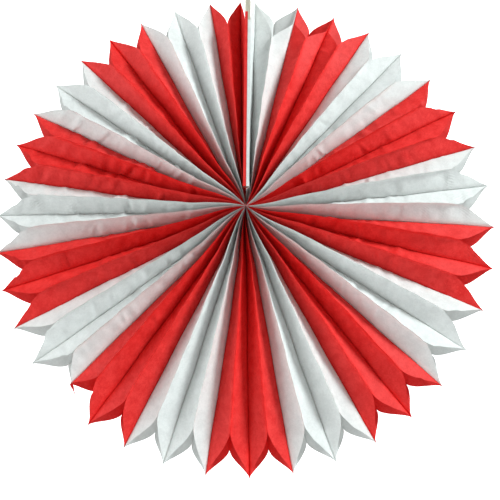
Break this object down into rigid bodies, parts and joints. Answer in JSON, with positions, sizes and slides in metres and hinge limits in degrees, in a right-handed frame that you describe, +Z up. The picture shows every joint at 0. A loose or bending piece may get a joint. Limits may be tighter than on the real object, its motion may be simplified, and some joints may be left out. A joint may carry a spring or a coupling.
{
  "type": "paper fan rosette",
  "caption": "Round honeycomb tissue-paper fan in red and white stripes, opened right round and closed on two card end boards.",
  "frame": {"origin": "centre of the hub, at mid depth", "axes": "+Z up to the seam and its two end boards, -Y towards the front of the fan, X across"},
  "size_m": [0.4997, 0.0482, 0.5159],
  "materials": {
    "white_tissue": "matte",
    "red_tissue": "matte",
    "board": "matte",
    "tape": "satin",
    "thread": "matte"
  },
  "bodies": {
    "root": {"cell_01": "white_tissue", "cell_02": "red_tissue", "cell_03": "red_tissue", "cell_04": "white_tissue", "cell_05": "white_tissue", "cell_06": "red_tissue", "cell_07": "red_tissue", "cell_08": "white_tissue", "cell_09": "white_tissue", "cell_10": "red_tissue", "cell_11": "red_tissue", "cell_12": "white_tissue", "cell_13": "white_tissue", "cell_14": "red_tissue", "cell_15": "red_tissue", "cell_16": "white_tissue", "cell_17": "white_tissue", "cell_18": "red_tissue", "cell_19": "red_tissue", "cell_20": "white_tissue", "cell_21": "white_tissue", "cell_22": "red_tissue", "cell_23": "red_tissue", "cell_24": "white_tissue", "cell_25": "white_tissue", "cell_26": "red_tissue", "cell_27": "red_tissue", "cell_28": "white_tissue", "cell_29": "white_tissue", "cell_30": "red_tissue", "cell_31": "red_tissue", "cell_32": "white_tissue", "cell_33": "white_tissue", "cell_34": "red_tissue", "cell_35": "red_tissue", "cell_36": "white_tissue", "cell_37": "white_tissue", "cell_38": "red_tissue", "seam_sheet_white": "white_tissue", "seam_sheet_red": "red_tissue", "end_sheet_white": "white_tissue", "end_sheet_red": "red_tissue", "end_board_right": "board", "end_board_left": "board", "joining_tape": "tape", "hub_thread": "thread"}
  },
  "joints": []
}
